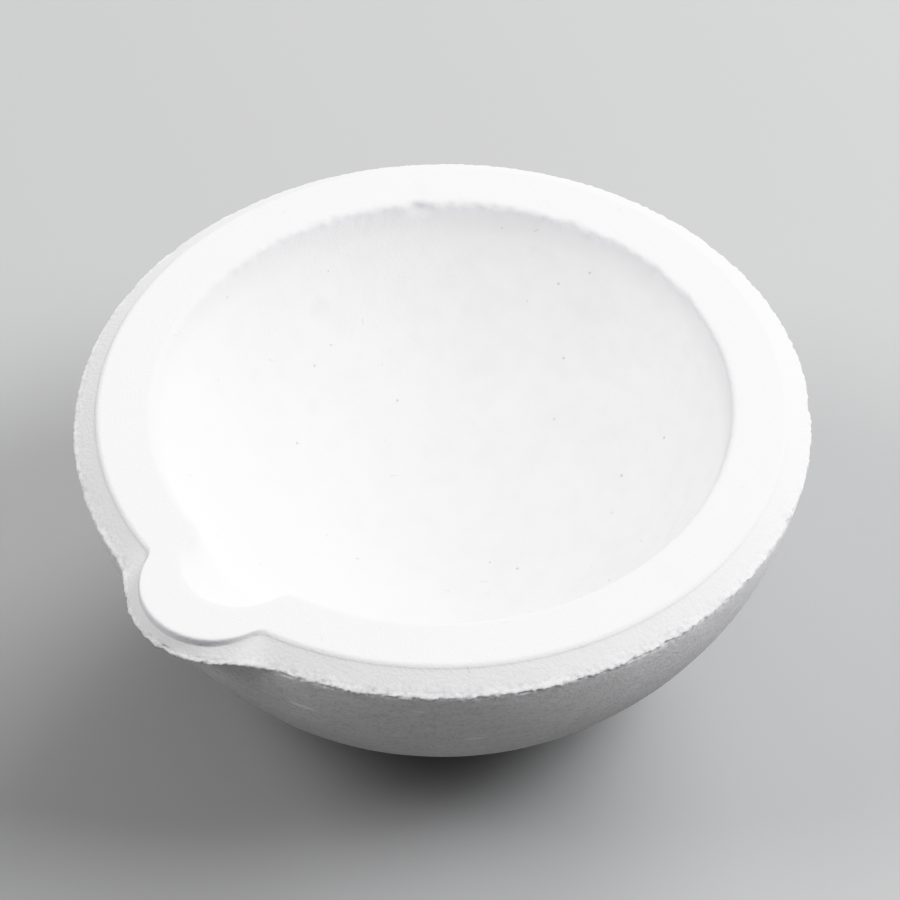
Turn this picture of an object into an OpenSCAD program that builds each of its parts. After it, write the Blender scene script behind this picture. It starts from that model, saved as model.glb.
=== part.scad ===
// Round-bottomed dish in unglazed white silica ceramic, pressed in one piece.
// It has a thick wall, a wide flat top face, a sloping band that runs down to
// the mould's parting line, and a small pouring lip on the -Y side.
// The origin is the centre of the small flat under the bowl, with +Z up.

/* [Bowl] */
// Height from the flat base to the top face
height = 35; // [33:0.5:38]
// Diameter of the flat under the bowl
base_d = 24.6; // [16:0.2:30]
// Depth of the hollow below the top face
hollow_depth = 28; // [24:0.5:29]

/* [Rim] */
// Diameter over the parting line
rim_d = 80; // [79:0.2:84]
// Diameter of the flat top face
face_d = 74.8; // [72:0.2:76]
// Diameter of the mouth, where the hollow meets the top face
mouth_d = 62.4; // [60:0.2:65]
// Drop from the top face to the parting line
parting_drop = 2.2; // [1.8:0.1:3]
// Height of the upright step around the top face
step_h = 1; // [0.6:0.1:1.4]
// Rounding of the top face's outer edge
edge_round = 0.4; // [0.2:0.1:0.5]

/* [Pouring lip] */
// Radius of the lip's top face
lip_r = 8.2; // [7.6:0.1:9]
// Distance from the bowl's axis to the centre of the lip's top face
lip_reach = 34.8; // [34:0.1:36]
// Radius of the lip at the parting line
lip_foot_r = 10.7; // [10:0.1:11.5]
// Distance from the bowl's axis to the centre of the lip at the parting line
lip_foot_reach = 33.4; // [32.6:0.1:34.4]
// Height of the solid that carries the lip below the parting line
lip_depth = 8; // [6:0.5:10]
// Width of the pouring groove at the top face
groove_w = 12.4; // [10:0.2:13]
// Depth of the pouring groove
groove_depth = 5; // [3.6:0.2:6]
// Distance from the bowl's axis to the centre of the groove
groove_reach = 31.1; // [30:0.1:31.6]

/* [Hidden] */
$fn = 96;

// Height of the parting line, and the outer sphere through it and the base edge
parting_z = height - parting_drop;
bowl_zc = (pow(rim_d / 2, 2) - pow(base_d / 2, 2) + pow(parting_z, 2)) / (2 * parting_z);
bowl_r = sqrt(pow(base_d / 2, 2) + pow(bowl_zc, 2));

// Sphere of the hollow, through the mouth's edge and the floor's lowest point
hollow_r = (pow(mouth_d / 2, 2) + pow(hollow_depth, 2)) / (2 * hollow_depth);
hollow_zc = height - hollow_depth + hollow_r;

// Sphere of the pouring groove, as deep as stated below the top face
groove_r = (pow(groove_w / 2, 2) + pow(groove_depth, 2)) / (2 * groove_depth);
groove_zc = height - groove_depth + groove_r;

// Radius of the nose near the parting line, just inside the lip's own outline
nose_r = lip_foot_reach + lip_foot_r - lip_reach - 0.2;

// Thickness of the lip's blunt edge, and how far the shapes above and below it
// start inside it
fin_t = 0.5;
join = 0.1;

// The lip's root narrows to a small tip inside the bowl's wall, and its wide
// end lies this far inside the lip's outline
root_tip_r = 1;
root_inset = 0.3;

// Outline of a flat face of radius r above the step, with a rounded edge
module face_outline(r) {
    square([r, height - edge_round]);
    square([r - edge_round, height]);
    translate([r - edge_round, height - edge_round]) circle(r = edge_round);
}

// Half section of the round outside of the bowl, up to the parting line
module bowl_outline() {
    intersection() {
        translate([0, bowl_zc]) circle(r = bowl_r, $fn = 360);
        square([rim_d, parting_z]);
    }
}

// Half section of the sloping band between the parting line and the step
module band_outline() {
    polygon([
        [0, parting_z],
        [rim_d / 2, parting_z],
        [face_d / 2, height - step_h],
        [0, height - step_h]
    ]);
}

// Half section of the step and the flat face of radius r
module step_outline(r) {
    intersection() {
        face_outline(r);
        translate([0, height - step_h]) square([rim_d, step_h]);
    }
}

// Solid of revolution of the bowl, its sloping band and its top face. It is
// turned so that the seam of its surfaces lies under the lip.
module bowl_body() {
    rotate([0, 0, -90]) rotate_extrude() {
        bowl_outline();
        band_outline();
        step_outline(face_d / 2);
    }
}

// A cone that stands this far out on the -Y side, from radius r1 at height z1 to
// radius r2 at height z2. Its seam faces the bowl's axis.
module lip_cone(reach, z1, r1, z2, r2) {
    translate([0, -reach, z1]) rotate([0, 0, 90]) cylinder(r1 = r1, r2 = r2, h = z2 - z1);
}

// Lip: a round top face with its step, a sloping band that is steeper under the
// tip, the blunt edge of the parting line and a tapered root in the bowl's wall
module lip_body() {
    step_z = height - step_h;
    translate([0, -lip_reach, 0]) rotate([0, 0, 90]) rotate_extrude() step_outline(lip_r);
    lip_cone(lip_reach, parting_z + join, nose_r, step_z, lip_r);
    lip_cone(lip_foot_reach, parting_z + join, lip_foot_r - join, step_z, lip_r);
    lip_cone(lip_foot_reach, parting_z - fin_t / 2, lip_foot_r, parting_z + fin_t / 2, lip_foot_r);
    lip_cone(lip_foot_reach, parting_z - lip_depth, root_tip_r, parting_z - join, lip_foot_r - root_inset);
}

// Round hollow of the bowl
module hollow() {
    translate([0, 0, hollow_zc]) sphere(r = hollow_r, $fn = 180);
}

// Scoop that leads from the hollow into the lip
module pouring_groove() {
    translate([0, -groove_reach, groove_zc]) sphere(r = groove_r);
}

module dish() {
    color("whitesmoke") difference() {
        union() {
            bowl_body();
            lip_body();
        }
        hollow();
        pouring_groove();
    }
}

dish();
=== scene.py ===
import math

import bpy
import numpy as np
from mathutils import Matrix, Vector, noise


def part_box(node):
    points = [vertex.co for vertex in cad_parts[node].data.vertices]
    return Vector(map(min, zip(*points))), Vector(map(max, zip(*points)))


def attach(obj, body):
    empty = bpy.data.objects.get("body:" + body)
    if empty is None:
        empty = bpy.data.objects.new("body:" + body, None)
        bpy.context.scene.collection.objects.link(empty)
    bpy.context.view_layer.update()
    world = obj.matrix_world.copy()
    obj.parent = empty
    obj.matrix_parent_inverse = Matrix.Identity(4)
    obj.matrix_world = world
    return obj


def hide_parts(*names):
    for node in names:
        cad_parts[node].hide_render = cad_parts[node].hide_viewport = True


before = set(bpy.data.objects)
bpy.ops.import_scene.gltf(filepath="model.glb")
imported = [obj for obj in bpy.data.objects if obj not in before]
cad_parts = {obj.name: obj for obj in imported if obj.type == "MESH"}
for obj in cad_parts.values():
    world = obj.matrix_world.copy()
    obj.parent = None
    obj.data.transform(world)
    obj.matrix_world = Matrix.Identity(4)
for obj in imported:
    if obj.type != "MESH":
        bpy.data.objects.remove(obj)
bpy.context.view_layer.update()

# ------------------------------------------------------------------ dish body
# The whole dish is one thick bowl of silica ceramic. It is pressed wet between
# two mould halves, which leaves the sloping band and the ragged parting line,
# and it is fired without a glaze. Sizes in this section are in millimetres.
MM = 0.001
cad_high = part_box("dish")[1]
rim_r = round(cad_high.y / MM, 1)
height = round(cad_high.z / MM, 1)
face_r = rim_r - 2.6
mouth_r = rim_r - 8.8
base_r = rim_r - 27.7
parting_z = height - 2.2
hollow_depth = height - 7.0

# The lip follows four circles: its top face, its outline at the parting line,
# its root under the band, and the pouring groove that is pressed into it.
lip_reach, lip_r = face_r - 2.6, 8.15
foot_reach, foot_r = rim_r - 6.6, 10.66
root_tip_r, root_depth = 1.0, 8.0
groove_reach, groove_r, groove_depth = mouth_r - 0.1, 6.24, 5.0

# Fillets in the notches, where the lip's circles meet those of the bowl
face_fillet, parting_fillet, mouth_fillet, under_fillet, scoop_fillet = 1.0, 2.4, 1.6, 2.5, 2.0

# Spheres of the outside, the hollow and the groove, each through known points
bowl_zc = (rim_r**2 - base_r**2 + parting_z**2) / (2 * parting_z)
bowl_r = math.hypot(base_r, bowl_zc)
hollow_r = (mouth_r**2 + hollow_depth**2) / (2 * hollow_depth)
hollow_centre = np.array([0, 0, height - hollow_depth + hollow_r])
scoop_r = (groove_r**2 + groove_depth**2) / (2 * groove_depth)
scoop_centre = np.array([0, -groove_reach, height - groove_depth + scoop_r])

# Points in each ring of the skin, of which the ragged edge gets the most, and
# how often a search for its outline halves its range
FINE, MIDDLE, COARSE, CORE = 1200, 600, 300, 75
HALVINGS = 36


def bearings(count):
    """Directions round the bowl's axis, from the lip and back to it."""
    return -math.pi / 2 + np.arange(count) * 2 * math.pi / count


def blended(a, b, width):
    """Joins two distance fields with a fillet of about this width."""
    near = np.maximum(width - np.abs(a - b), 0) / width
    return np.minimum(a, b) - near * near * width / 4


def round_and_lip(x, y, r, reach, lip, fillet):
    """Distance to the outline of a disc with a round lip on its -Y side."""
    return blended(np.hypot(x, y) - r, np.hypot(x, y + reach) - lip, fillet)


def face_field(x, y):
    """Distance to the outline of the flat top face."""
    return round_and_lip(x, y, face_r, lip_reach, lip_r, face_fillet)


def parting_field(x, y):
    """Distance to the outline of the parting line."""
    return round_and_lip(x, y, rim_r, foot_reach, foot_r, parting_fillet)


def mouth_field(x, y):
    """Distance to the outline of the mouth."""
    return round_and_lip(x, y, mouth_r, groove_reach, groove_r, mouth_fillet)


def solved(field, low, high):
    """Where each ray's field turns from negative to positive, by halving."""
    for _ in range(HALVINGS):
        middle = (low + high) / 2
        within = field(middle) < 0
        low, high = np.where(within, middle, low), np.where(within, high, middle)
    return (low + high) / 2


def outline_radius(field, level, count):
    """How far out the outline at this level lies, for each direction."""
    a = bearings(count)
    x, y = np.cos(a), np.sin(a)
    low, high = np.full(count, base_r / 3), np.full(count, 1.5 * rim_r)
    return solved(lambda r: field(r * x, r * y) - level, low, high)


def lip_share(count, full, none):
    """1 within this many degrees of the lip's bearing, falling smoothly to 0."""
    a = bearings(count)
    away = np.degrees(np.minimum(a + math.pi / 2, 1.5 * math.pi - a))
    share = np.clip((none - away) / (none - full), 0, 1)
    return share * share * (3 - 2 * share)


def ring(radius, z, count):
    """Points of one ring, with a radius and a height for all or for each."""
    a = bearings(count)
    return np.column_stack([radius * np.cos(a), radius * np.sin(a), np.broadcast_to(z, count)])


def under_field(z):
    """Outline of the round underside at height z, with the root of the lip."""
    sphere_r = math.sqrt(bowl_r**2 - (bowl_zc - z) ** 2)
    share = 1 - (parting_z - z) / root_depth
    root_inset = 0.3
    root_r = root_tip_r + (foot_r - root_inset - root_tip_r) * share
    if root_r <= root_tip_r:
        return lambda x, y: np.hypot(x, y) - sphere_r
    return lambda x, y: round_and_lip(x, y, sphere_r, foot_reach, root_r, under_fillet)


# Each ring of the skin says how ragged it is, how grainy, how much it shows the
# mould's turning marks, how far its edge has crumbled, and if it is in the hollow
rings = []
wear = {"ragged": [], "grainy": [], "turned": [], "crumbled": [], "hollow": []}


def add(points, ragged=0.0, grainy=0.25, turned=0.0, crumbled=0.0, hollow=0.0):
    """Adds a ring to the skin, and says how each kind of wear shows on it."""
    rings.append(points)
    for name, value in zip(wear, (ragged, grainy, turned, crumbled, hollow)):
        wear[name].append(np.full(len(points), value))


# Flat base and its worn edge
worn_width, worn_rise = 0.8, 0.22
for radius in np.linspace(1.5, base_r - worn_width, 5):
    add(ring(radius, 0, CORE), grainy=0.6)
for share in (0.3, 0.6, 0.85):
    add(ring(base_r - worn_width * (1 - share), worn_rise * share**2, COARSE), grainy=0.6)

# Round underside, up to just under the parting line. Near its top the rings lie
# closer, and it is ragged too.
edge_gap, close_height, ragged_height, coarse_rings = 0.42, 2.0, 1.8, 12
lowest = math.asin(base_r / bowl_r)
highest = math.acos((bowl_zc - parting_z + edge_gap) / bowl_r)
near_edge = highest - close_height / bowl_r
low_turns = np.linspace(lowest, near_edge, 43)[1:]
high_turns = np.linspace(near_edge, highest, 9)[1:]
for k, turn in enumerate(np.concatenate([low_turns, high_turns])):
    z = bowl_zc - bowl_r * math.cos(turn)
    edge_share = max(0, 1 - (parting_z - z) / ragged_height)
    count = COARSE if k < coarse_rings else MIDDLE if k < len(low_turns) else FINE
    outline = ring(outline_radius(under_field(z), 0, count), z, count)
    add(outline, ragged=0.7 * edge_share**2, grainy=0.6, turned=1.0)

# Blunt, ragged edge of the parting line: how far each ring lies above or below
# it, and how far out
edge_rings = ((-0.28, -0.03), (-0.15, 0.0), (-0.02, 0.01), (0.1, -0.05), (0.2, -0.2))
for rise, level in edge_rings:
    outline = ring(outline_radius(parting_field, level, FINE), parting_z + rise, FINE)
    add(outline, ragged=1.0, grainy=1.0, turned=0.3)

# Step round the top face, as offsets out and down from its outline: a tall steep
# wall at the lip, and elsewhere only a low soft shoulder
at_lip = lip_share(FINE, 6, 15)
step_inset = 0.45
wall = ((0.12, 0.94), (0.09, 0.8), (0.07, 0.6), (0.04, 0.4), (0, 0.2), (-0.1, 0.07), (-0.26, 0.01))
wall += ((-step_inset, 0),)
soft_width, soft_drop = 0.62, 0.28
step = []
for k, (wall_out, wall_drop) in enumerate(wall):
    share = 1 - k / (len(wall) - 1)
    step.append((
        at_lip * wall_out + (1 - at_lip) * (soft_width * share - step_inset),
        at_lip * wall_drop + (1 - at_lip) * soft_drop * share**2,
    ))
top_outline = outline_radius(face_field, 0, FINE)
crease = top_outline + step[0][0]
crease_z = height - step[0][1]

# Sloping band, from the last ring of the ragged edge up to the crease at the foot
# of the step
foot_rise, foot_level = edge_rings[-1]
foot = outline_radius(parting_field, foot_level, FINE)
foot_z = parting_z + foot_rise
for share in np.linspace(0, 1, 11)[1:]:
    z = foot_z + (crease_z - 0.12 - foot_z) * share
    radius = foot + (crease + 0.1 - foot) * share
    near_foot = (1 - share) ** 4
    add(ring(radius, z, FINE), ragged=0.8 * near_foot, grainy=0.5 + 0.5 * near_foot)
add(ring(crease + 0.03, crease_z - 0.06, FINE), grainy=0.5)
for step_out, step_down in step:
    add(ring(top_outline + step_out, height - step_down, FINE), grainy=0.32)
for level in (-0.7, -0.95):
    add(ring(outline_radius(face_field, level, FINE), height, FINE))

# Flat top face, narrowing from its outer outline to that of the mouth
face_outer = outline_radius(face_field, -1.2, MIDDLE)
face_inner = outline_radius(mouth_field, 1.3, MIDDLE)
for share in np.linspace(0, 1, 11):
    add(ring(face_outer + (face_inner - face_outer) * share, height, MIDDLE), crumbled=0.3 * share**3)


def mouth_round(count):
    """Rounding of the mouth's edge: wide, and crisp only at the pouring groove."""
    return 0.75 - 0.55 * lip_share(count, 9, 17)


# Rounded edge of the mouth, crumbled where the plunger was drawn out
add(ring(outline_radius(mouth_field, 1.0, MIDDLE), height, MIDDLE), crumbled=0.5)
for turn in np.radians((0, 24, 46, 66, 82)):
    radius = outline_radius(mouth_field, mouth_round(MIDDLE) * (1 - math.sin(turn)), MIDDLE)
    add(ring(radius, height - mouth_round(MIDDLE) * (1 - math.cos(turn)), MIDDLE), crumbled=1.0)


def hollow_ring(fraction, count):
    """Ring of the hollow about its sphere's centre: 0 at the mouth, 1 at the bottom."""
    a = bearings(count)
    mouth = outline_radius(mouth_field, 0, count)
    tilt = np.arctan2(mouth, hollow_centre[2] - height + mouth_round(count)) * (1 - fraction)
    ray = np.column_stack([np.sin(tilt) * np.cos(a), np.sin(tilt) * np.sin(a), -np.cos(tilt)])

    def field(reach):
        p = hollow_centre + ray * reach[:, None]
        bowl = np.linalg.norm(p - hollow_centre, axis=1) - hollow_r
        scoop = np.linalg.norm(p - scoop_centre, axis=1) - scoop_r
        return blended(bowl, scoop, scoop_fillet)

    reach = solved(field, np.full(count, hollow_r / 3), np.full(count, 1.6 * hollow_r))
    return hollow_centre + ray * reach[:, None]


# Hollow, from under the mouth's edge to the bottom
for fraction in np.linspace(0.012, 0.975, 60):
    count = MIDDLE if fraction < 0.4 else COARSE if fraction < 0.83 else CORE
    points = hollow_ring(fraction, count)
    add(points, crumbled=max(0, 0.8 - fraction * 30), hollow=min(1, fraction * 12))


def skin(rings, first, last):
    """Points and faces of a closed skin, with a middle point at each end."""
    starts = 1 + np.cumsum([0] + [len(r) for r in rings])
    end, n = int(starts[-1]), len(rings[0])
    faces = [(0, 1 + (i + 1) % n, 1 + i) for i in range(n)]
    for k in range(len(rings) - 1):
        a, b, na, nb = int(starts[k]), int(starts[k + 1]), len(rings[k]), len(rings[k + 1])
        few, ratio = min(na, nb), max(na, nb) // min(na, nb)
        half = ratio // 2
        for i in range(few):
            j = (i + 1) % few
            if ratio == 1:
                faces.append((a + i, a + j, b + j, b + i))
            elif na < nb:
                fan = [b + (i * ratio + m) % nb for m in range(ratio + 1)]
                faces += [(a + i if m < half else a + j, fan[m + 1], fan[m]) for m in range(ratio)]
                faces.append((a + i, a + j, fan[half]))
            else:
                fan = [a + (i * ratio + m) % na for m in range(ratio + 1)]
                faces += [(fan[m], fan[m + 1], b + i if m < half else b + j) for m in range(ratio)]
                faces.append((b + j, b + i, fan[half]))
    n, last_ring = len(rings[-1]), int(starts[-2])
    faces += [(end, last_ring + i, last_ring + (i + 1) % n) for i in range(n)]
    return np.vstack([[first]] + rings + [[last]]), faces


skin_points, skin_faces = skin(rings, (0, 0, 0), (0, 0, height - hollow_depth))
for name, values in wear.items():
    wear[name] = np.concatenate([values[0][:1]] + values + [values[-1][:1]])


def lumps(size, seed, stretch=(1, 1, 1)):
    """Smooth noise over the skin, about -1 to 1, with lumps of this size."""
    at = skin_points / (size * np.array(stretch)) + np.array([seed * 17.3, seed * 5.9, seed * 11.1])
    return np.array([noise.noise(Vector(p)) for p in at]) * 1.6


# Raggedness of the parting line: grains of clay, waves and a few nicks
x, y = skin_points[:, 0], skin_points[:, 1]
reach = np.maximum(np.hypot(x, y), 1e-6)
outward = np.column_stack([x / reach, y / reach, np.zeros(len(x))])
around = np.arctan2(y, x)
ragged = wear["ragged"] * (0.74 + 0.26 * np.cos(around + math.radians(20)))
push = ragged * (0.1 * lumps(0.3, 1) + 0.09 * lumps(0.6, 14) + 0.09 * lumps(1.6, 2) - 0.05)
lift = ragged * (0.07 * lumps(0.32, 3) + 0.04 * lumps(3.5, 4))
draws = np.random.default_rng(7)
nicks = 9
for _ in range(nicks):
    place = draws.uniform(-math.pi, math.pi)
    width = draws.uniform(0.4, 1.1) / rim_r
    depth = draws.uniform(0.1, 0.26)
    gap = np.angle(np.exp(1j * (around - place)))
    push -= ragged * depth * np.exp(-((gap / width) ** 2))

# Turning marks round the underside, and the grain and slight warp of the rest
smooth = 1 - wear["turned"]
push += wear["turned"] * (0.012 * lumps(1.1, 5, (9, 9, 1)) + 0.03 * lumps(6, 6))
lift += smooth * wear["grainy"] ** 2 * (0.018 * lumps(0.7, 7) + 0.016 * lumps(0.45, 8))
lift += smooth * (0.035 * lumps(9, 9) + 0.012 * lumps(2, 10))

# Crumbled edge of the mouth, worst on the side away from the lip
far_side = np.clip(np.cos(around - math.radians(125)), 0, 1) ** 2
bites = 0.12 * lumps(0.9, 11) + 0.26 * np.maximum(lumps(2.1, 15), 0) + 0.1 * lumps(5, 12)
push += wear["crumbled"] * bites * (0.25 + 1.3 * far_side)
lift -= 0.06 * wear["crumbled"] * np.maximum(lumps(0.9, 13), 0) * (0.3 + far_side)
skin_points += outward * push[:, None]
skin_points[:, 2] = np.maximum(skin_points[:, 2] + lift, 0)

mesh = bpy.data.meshes.new("dish_body")
mesh.from_pydata([Vector(p) * MM for p in skin_points], [], skin_faces)
mesh.polygons.foreach_set("use_smooth", [True] * len(mesh.polygons))
for name, values in wear.items():
    mesh.attributes.new(name, "FLOAT", "POINT").data.foreach_set("value", values)
mesh.update()
dish = bpy.data.objects.new("dish_body", mesh)
bpy.context.scene.collection.objects.link(dish)


def group_with(name, inputs, outputs):
    """Empty node group with these named sockets, and its two end nodes."""
    group = bpy.data.node_groups.new(name, "ShaderNodeTree")
    for socket, kind, value in inputs:
        made = group.interface.new_socket(name=socket, in_out="INPUT", socket_type=kind)
        if value is not None:
            made.default_value = value
    for socket, kind in outputs:
        group.interface.new_socket(name=socket, in_out="OUTPUT", socket_type=kind)
    return group, group.nodes.new("NodeGroupInput"), group.nodes.new("NodeGroupOutput")


def put(tree, kind, settings=None, **sockets):
    """Adds a node, sets its fields and gives its inputs a value or a link."""
    node = tree.nodes.new(kind)
    for field, value in (settings or {}).items():
        setattr(node, field, value)
    for name, value in sockets.items():
        key = int(name[1:]) if name[0] == "_" and name[1:].isdigit() else name.replace("_", " ")
        if isinstance(value, bpy.types.NodeSocket):
            tree.links.new(value, node.inputs[key])
        else:
            node.inputs[key].default_value = value
    return node


def maths(tree, operation, first, second=0.0):
    """Output of a new math node."""
    return put(tree, "ShaderNodeMath", {"operation": operation}, _0=first, _1=second).outputs[0]


# Fired specks: grains of iron and grit that lie just under the surface, so each
# shows as a small round spot of its own size
FLOAT, VECTOR = "NodeSocketFloat", "NodeSocketVector"
specks, speck_in, speck_out = group_with(
    "fired_specks",
    [("Place", VECTOR, None), ("Per Metre", FLOAT, None), ("Size", FLOAT, None)],
    [("Mask", FLOAT), ("Tint", FLOAT)],
)
speck_cells = put(
    specks, "ShaderNodeTexVoronoi", {"voronoi_dimensions": "3D", "feature": "F1"},
    Vector=speck_in.outputs["Place"], Scale=speck_in.outputs["Per Metre"],
)
soft_edge = maths(specks, "MULTIPLY", speck_in.outputs["Size"], 0.55)
spot = put(
    specks, "ShaderNodeMapRange", {"interpolation_type": "SMOOTHSTEP"},
    Value=speck_cells.outputs["Distance"], From_Min=speck_in.outputs["Size"], From_Max=soft_edge,
)
specks.links.new(spot.outputs["Result"], speck_out.inputs["Mask"])
tint = put(specks, "ShaderNodeSeparateColor", Color=speck_cells.outputs["Color"])
specks.links.new(tint.outputs["Red"], speck_out.inputs["Tint"])

# Hair marks: thin curved lines that fibres in the clay leave when they burn out.
# Each cell holds one line, laid along the surface in a direction of its own.
hairs, hair_in, hair_out = group_with(
    "burnt_fibres",
    [
        ("Place", VECTOR, None), ("Normal", VECTOR, None), ("Per Metre", FLOAT, None),
        ("Length", FLOAT, 0.0004), ("Width", FLOAT, 0.00007),
    ],
    [("Mask", FLOAT)],
)
hair_cells = put(
    hairs, "ShaderNodeTexVoronoi", {"voronoi_dimensions": "3D", "feature": "F1"},
    Vector=hair_in.outputs["Place"], Scale=hair_in.outputs["Per Metre"],
)


def vectors(tree, operation, first, second=(0, 0, 0)):
    """Outputs of a new vector math node."""
    return put(tree, "ShaderNodeVectorMath", {"operation": operation}, _0=first, _1=second).outputs


own = vectors(hairs, "SUBTRACT", hair_cells.outputs["Color"], (0.5, 0.5, 0.5))[0]
local = vectors(hairs, "SUBTRACT", hair_in.outputs["Place"], hair_cells.outputs["Position"])[0]
along = vectors(hairs, "CROSS_PRODUCT", hair_in.outputs["Normal"], own)[0]
along = vectors(hairs, "NORMALIZE", along)[0]
across = vectors(hairs, "CROSS_PRODUCT", hair_in.outputs["Normal"], along)[0]
u, v, w = (
    vectors(hairs, "DOT_PRODUCT", local, axis)["Value"]
    for axis in (along, across, hair_in.outputs["Normal"])
)
bend = maths(hairs, "MULTIPLY", maths(hairs, "MULTIPLY", u, u), 260.0)
off_line = maths(hairs, "ABSOLUTE", maths(hairs, "ADD", v, bend))
core_width = maths(hairs, "MULTIPLY", hair_in.outputs["Width"], 0.3)
in_width = put(
    hairs, "ShaderNodeMapRange",
    Value=off_line, From_Min=hair_in.outputs["Width"], From_Max=core_width,
)
in_length = maths(hairs, "LESS_THAN", maths(hairs, "ABSOLUTE", u), hair_in.outputs["Length"])
at_surface = maths(hairs, "LESS_THAN", maths(hairs, "ABSOLUTE", w), hair_in.outputs["Length"])
line = maths(hairs, "MULTIPLY", in_width.outputs["Result"], in_length)
hairs.links.new(maths(hairs, "MULTIPLY", line, at_surface), hair_out.inputs["Mask"])

# Silica ceramic, matt and chalky: nearly white, a little warmer in the hollow
# and greyer outside, with grain that is coarse at the parting line
ceramic = bpy.data.materials.new("silica_ceramic")
ceramic.use_nodes = True
tree = ceramic.node_tree
shader = tree.nodes["Principled BSDF"]
shader.inputs["IOR"].default_value = 1.46
shader.inputs["Specular IOR Level"].default_value = 0.35
place = put(tree, "ShaderNodeTexCoord").outputs["Object"]
normal = put(tree, "ShaderNodeNewGeometry").outputs["Normal"]
zone = {
    name: put(tree, "ShaderNodeAttribute", {"attribute_name": name}).outputs["Fac"]
    for name in ("ragged", "grainy", "turned", "hollow")
}


def mixed(tree, share, first, second):
    """Mixes two colours, each a link or a plain value."""
    node = put(tree, "ShaderNodeMix", {"data_type": "RGBA"}, _0=share)
    for slot, colour in ((6, first), (7, second)):
        if isinstance(colour, bpy.types.NodeSocket):
            tree.links.new(colour, node.inputs[slot])
        else:
            node.inputs[slot].default_value = (*colour, 1)
    return node.outputs[2]


def cloud(scale, detail, low, high):
    """Patchy mask from soft noise, between two thresholds."""
    soft_noise = put(tree, "ShaderNodeTexNoise", Vector=place, Scale=scale, Detail=detail)
    spread = put(
        tree, "ShaderNodeMapRange",
        Value=soft_noise.outputs["Fac"], From_Min=low, From_Max=high,
    )
    return spread.outputs["Result"]


pressed = put(tree, "ShaderNodeMapRange", Value=zone["grainy"], From_Min=0.28, From_Max=0.5)
unbroken = maths(tree, "SUBTRACT", 1.0, zone["ragged"])
pressed = maths(tree, "MULTIPLY", pressed.outputs["Result"], unbroken)
colour = mixed(tree, zone["hollow"], (0.75, 0.745, 0.768), (0.9, 0.89, 0.888))
colour = mixed(tree, pressed, colour, (0.755, 0.752, 0.756))
colour = mixed(tree, zone["turned"], colour, (0.82, 0.816, 0.828))
broad_clouds = maths(tree, "MULTIPLY", cloud(110, 4.0, 0.35, 0.75), 0.3)
colour = mixed(tree, broad_clouds, colour, (0.74, 0.735, 0.74))
seen_mottle = maths(tree, "ADD", zone["hollow"], 0.35)
mottle = maths(tree, "MULTIPLY", cloud(380, 4.0, 0.42, 0.72), seen_mottle)
colour = mixed(tree, maths(tree, "MULTIPLY", mottle, 0.16), colour, (0.7, 0.685, 0.69))
smudge = maths(tree, "MULTIPLY", cloud(160, 3.0, 0.68, 0.8), 0.4)
colour = mixed(tree, smudge, colour, (0.62, 0.62, 0.63))

# Streaks, pepper, brown flecks and pale scuffs on the turned underside
flattened = put(tree, "ShaderNodeMapping", Vector=place, Scale=(0.2, 0.2, 1.0)).outputs["Vector"]
streak = put(tree, "ShaderNodeTexNoise", Vector=flattened, Scale=1300, Detail=5.0, Roughness=0.75)
streaked = put(tree, "ShaderNodeMapRange", Value=streak.outputs["Fac"], From_Min=0.42, From_Max=0.68)
streaks = maths(tree, "MULTIPLY", streaked.outputs["Result"], zone["turned"])
colour = mixed(tree, maths(tree, "MULTIPLY", streaks, 0.3), colour, (0.64, 0.63, 0.632))
pepper = maths(tree, "MULTIPLY", cloud(2200, 2.0, 0.52, 0.66), zone["turned"])
colour = mixed(tree, maths(tree, "MULTIPLY", pepper, 0.35), colour, (0.56, 0.555, 0.56))
fleck = maths(tree, "MULTIPLY", cloud(1500, 1.0, 0.6, 0.68), zone["turned"])
colour = mixed(tree, maths(tree, "MULTIPLY", fleck, 0.22), colour, (0.6, 0.56, 0.53))
scratch = put(tree, "ShaderNodeTexNoise", Vector=flattened, Scale=900, Detail=0.0)
scratched = put(tree, "ShaderNodeMapRange", Value=scratch.outputs["Fac"], From_Min=0.78, From_Max=0.82)
scuffs = maths(tree, "MULTIPLY", scratched.outputs["Result"], zone["turned"])
colour = mixed(tree, maths(tree, "MULTIPLY", scuffs, 0.8), colour, (0.96, 0.96, 0.96))

# Grit at the parting line: dark specks that are painted shade in the pits between its grains, and pale
# grains
edge_grit_and_pit_shade = maths(tree, "POWER", zone["ragged"], 0.5)
pit_shade_strength = maths(tree, "MULTIPLY", edge_grit_and_pit_shade, 0.45)
# Dark specks: painted shade in the pits between the grains
pit_shade = maths(tree, "MULTIPLY", cloud(2600, 2.0, 0.5, 0.62), pit_shade_strength)
colour = mixed(tree, pit_shade, colour, (0.55, 0.545, 0.54))
grit_pale = maths(tree, "MULTIPLY", cloud(2100, 2.0, 0.48, 0.58), edge_grit_and_pit_shade)
colour = mixed(tree, maths(tree, "MULTIPLY", grit_pale, 0.5), colour, (0.92, 0.92, 0.928))


def fired_specks(per_metre, size):
    """One population of specks, each with a tint of its own."""
    return put(
        tree, "ShaderNodeGroup", {"node_tree": specks}, Place=place, Per_Metre=per_metre, Size=size,
    ).outputs


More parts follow.
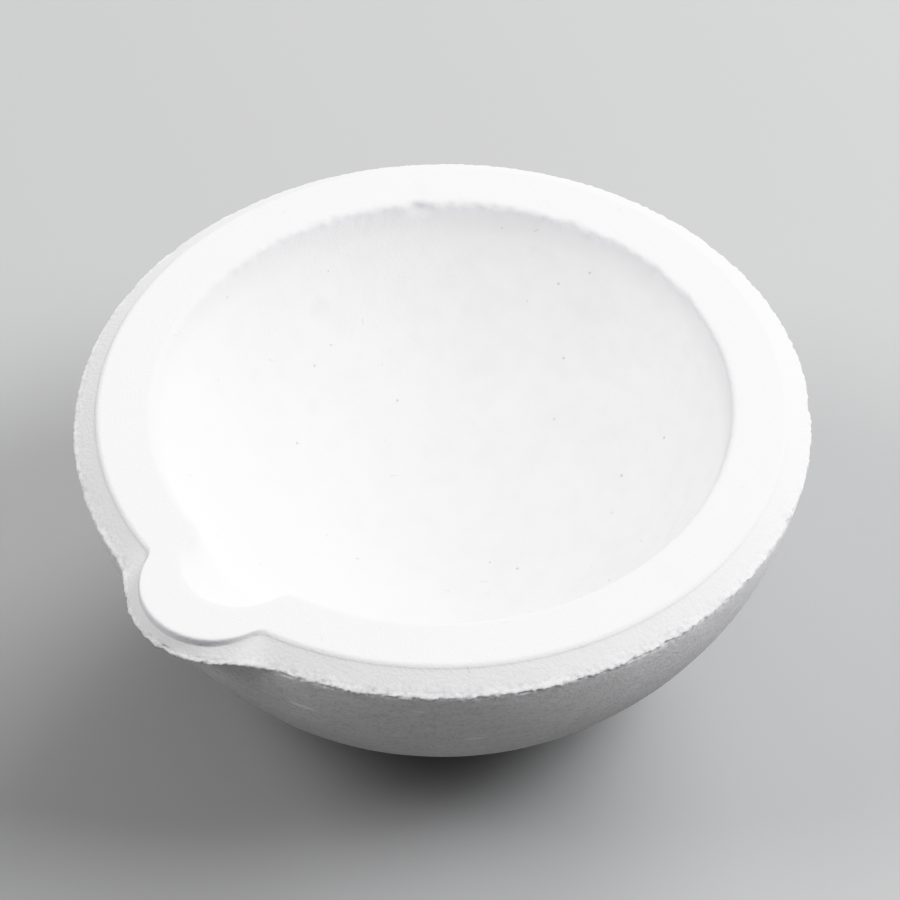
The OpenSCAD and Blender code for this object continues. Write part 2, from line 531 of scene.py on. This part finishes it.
# Specks, dust and stains, clearest in the hollow. A quarter of the specks are rust.
seen_specks = maths(tree, "ADD", maths(tree, "MULTIPLY", zone["hollow"], 0.6), 0.3)
spots = fired_specks(300.0, 0.07)
rusty = maths(tree, "GREATER_THAN", spots["Tint"], 0.75)
spot_colour = mixed(tree, rusty, (0.3, 0.29, 0.29), (0.5, 0.33, 0.28))
spot_tone = maths(tree, "MULTIPLY", spots["Mask"], spots["Tint"])
colour = mixed(tree, maths(tree, "MULTIPLY", spot_tone, seen_specks), colour, spot_colour)
dust = fired_specks(750.0, 0.09)
dust_tone = maths(tree, "MULTIPLY", dust["Mask"], dust["Tint"])
dust_tone = maths(tree, "MULTIPLY", dust_tone, maths(tree, "MULTIPLY", seen_specks, 0.3))
colour = mixed(tree, dust_tone, colour, (0.45, 0.42, 0.41))
stains = fired_specks(110.0, 0.08)
stain_tone = maths(tree, "MULTIPLY", stains["Mask"], maths(tree, "MULTIPLY", stains["Tint"], 0.2))
colour = mixed(tree, stain_tone, colour, (0.5, 0.49, 0.5))
hair_marks = put(
    tree, "ShaderNodeGroup", {"node_tree": hairs}, Place=place, Normal=normal, Per_Metre=150.0,
)
hair_tone = maths(tree, "MULTIPLY", hair_marks.outputs["Mask"], 0.5)
colour = mixed(tree, hair_tone, colour, (0.36, 0.34, 0.34))
tree.links.new(colour, shader.inputs["Base Color"])

rough = put(tree, "ShaderNodeMapRange", Value=cloud(700, 3.0, 0.3, 0.7), To_Min=0.72, To_Max=0.92)
tree.links.new(rough.outputs["Result"], shader.inputs["Roughness"])

# Relief: fine grain all over, coarse grain on broken clay, and the mould's streaks
fine_grain = put(tree, "ShaderNodeTexNoise", Vector=place, Scale=2600, Detail=4.0, Roughness=0.6)
coarse_grain = put(tree, "ShaderNodeTexNoise", Vector=place, Scale=1100, Detail=3.0)
fine = maths(tree, "MULTIPLY", fine_grain.outputs["Fac"], 0.3)
coarse_height = maths(tree, "MULTIPLY", zone["grainy"], 0.12)
coarse = maths(tree, "MULTIPLY", coarse_grain.outputs["Fac"], coarse_height)
mark_height = maths(tree, "MULTIPLY", zone["turned"], 0.4)
marks = maths(tree, "MULTIPLY", streak.outputs["Fac"], mark_height)
relief = maths(tree, "ADD", fine, maths(tree, "ADD", coarse, marks))
bump = put(tree, "ShaderNodeBump", Height=relief, Strength=0.8, Distance=0.0003)
tree.links.new(bump.outputs["Normal"], shader.inputs["Normal"])
mesh.materials.append(ceramic)

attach(dish, "root")
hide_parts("dish")

# ------------------------------------------------------------------ camera
# A long lens that looks down at the dish across its pouring lip.
azimuth, elevation, roll = math.radians(43.1), math.radians(46.69), math.radians(-0.62)
away = 12.77 * rim_r * MM
target = Vector((0, 0, height * MM))
back = Vector((
    math.sin(azimuth) * math.cos(elevation),
    -math.cos(azimuth) * math.cos(elevation),
    math.sin(elevation),
))
right = Vector((math.cos(azimuth), math.sin(azimuth), 0))
up = back.cross(right)
right_rolled = right * math.cos(roll) + up * math.sin(roll)
up_rolled = up * math.cos(roll) - right * math.sin(roll)
shift_right, shift_down = 0.000844, 0.005043
aim = target + right_rolled * shift_right - up_rolled * shift_down
lens = bpy.data.cameras.new("camera")
lens.sensor_width = 36
lens.lens = 188.8
lens.clip_start = 0.01
camera = bpy.data.objects.new("camera", lens)
camera.matrix_world = Matrix((
    (right_rolled.x, up_rolled.x, back.x, aim.x + back.x * away),
    (right_rolled.y, up_rolled.y, back.y, aim.y + back.y * away),
    (right_rolled.z, up_rolled.z, back.z, aim.z + back.z * away),
    (0, 0, 0, 1),
))
bpy.context.scene.collection.objects.link(camera)
bpy.context.scene.camera = camera

# ------------------------------------------------------------------ studio
# A matt pale sheet under the dish, which sweeps up into a low wall all round.
# It returns less light than it shows, as if black flags stood close to the dish,
# so the underside stays in shade.
sheet_middle, sheet_flat, sheet_rise, sheet_steps = 0.3, 0.65, 0.35, 8
profile = [(sheet_middle, 0.0), (sheet_flat, 0.0)]
for k in range(1, sheet_steps + 1):
    lean = math.radians(90 * k / sheet_steps)
    profile.append((sheet_flat + sheet_rise * math.sin(lean), sheet_rise * (1 - math.cos(lean))))
sheet_points = np.vstack([ring(radius, z, CORE) for radius, z in profile])
sheet_faces = [tuple(range(CORE))]
for k in range(len(profile) - 1):
    for i in range(CORE):
        inner, outer, j = k * CORE, (k + 1) * CORE, (i + 1) % CORE
        sheet_faces.append((inner + i, outer + i, outer + j, inner + j))
sheet_mesh = bpy.data.meshes.new("floor_sheet")
sheet_mesh.from_pydata([Vector(p) for p in sheet_points], [], sheet_faces)
sheet_mesh.polygons.foreach_set("use_smooth", [True] * len(sheet_mesh.polygons))
sheet = bpy.data.objects.new("floor_sheet", sheet_mesh)
bpy.context.scene.collection.objects.link(sheet)
sheet_paper = bpy.data.materials.new("floor_paper")
sheet_paper.use_nodes = True
tree = sheet_paper.node_tree
seen = put(tree, "ShaderNodeLightPath").outputs["Is Camera Ray"]
paper = tree.nodes["Principled BSDF"]
paper.inputs["Roughness"].default_value = 0.9
paper.inputs["Specular IOR Level"].default_value = 0.1
sheet_place = put(tree, "ShaderNodeTexCoord").outputs["Object"]
sheet_height = put(tree, "ShaderNodeSeparateXYZ", Vector=sheet_place).outputs["Z"]
on_wall = put(tree, "ShaderNodeMapRange", Value=sheet_height, From_Max=0.12).outputs["Result"]
shown = mixed(tree, on_wall, (0.36, 0.36, 0.363), (0.75, 0.75, 0.755))
returned = (0.18, 0.18, 0.18)
tree.links.new(mixed(tree, seen, returned, shown), paper.inputs["Base Color"])
sheet_mesh.materials.append(sheet_paper)

# Strong softboxes behind the dish and on its right, a weaker one on its left, and
# a little fill from a wide one overhead and from one under the camera
level_back = Vector((-math.sin(azimuth), math.cos(azimuth), 0))


def softbox(name, toward_back, lift, distance, size, watts, colour=(1, 1, 1)):
    """Square light at this bearing from the camera's right and this elevation."""
    light = bpy.data.lights.new(name, "AREA")
    light.size = size
    light.energy = watts
    light.color = colour
    turn, rise = math.radians(toward_back), math.radians(lift)
    bearing = right * math.cos(turn) + level_back * math.sin(turn)
    lamp_at = bearing * (distance * math.cos(rise)) + Vector((0, 0, distance * math.sin(rise)))
    lamp = bpy.data.objects.new(name, light)
    lamp.location = lamp_at
    lamp.rotation_euler = (target - lamp_at).to_track_quat("-Z", "Y").to_euler()
    bpy.context.scene.collection.objects.link(lamp)


softbox("overhead_softbox", 0, 90, 0.8, 1.6, 1.5)
softbox("rear_softbox", 60, 30, 0.75, 0.4, 3.55)
softbox("right_softbox", 0, 45, 0.75, 0.4, 3.35, (0.98, 0.99, 1.0))
softbox("left_softbox", 180, 45, 0.75, 0.4, 1.95)
softbox("front_softbox", 270, 30, 0.75, 0.6, 0.34)
world = bpy.data.worlds.new("studio")
world.use_nodes = True
world.node_tree.nodes["Background"].inputs["Color"].default_value = (0, 0, 0, 1)
bpy.context.scene.world = world

# Print contrast: firm shadows and a long soft shoulder in the whites
view = bpy.context.scene.view_settings
view.view_transform = "Standard"
view.use_curve_mapping = True
curve = view.curve_mapping.curves[3]
brightest, exposure, contrast = 0.984, 2.6, 1.484
curve.points[1].location = (1, brightest)
for light_in in (0.04, 0.1, 0.18, 0.28, 0.4, 0.55, 0.75):
    curve.points.new(light_in, 1 - math.exp(-((exposure * light_in) ** contrast)))
view.curve_mapping.update()
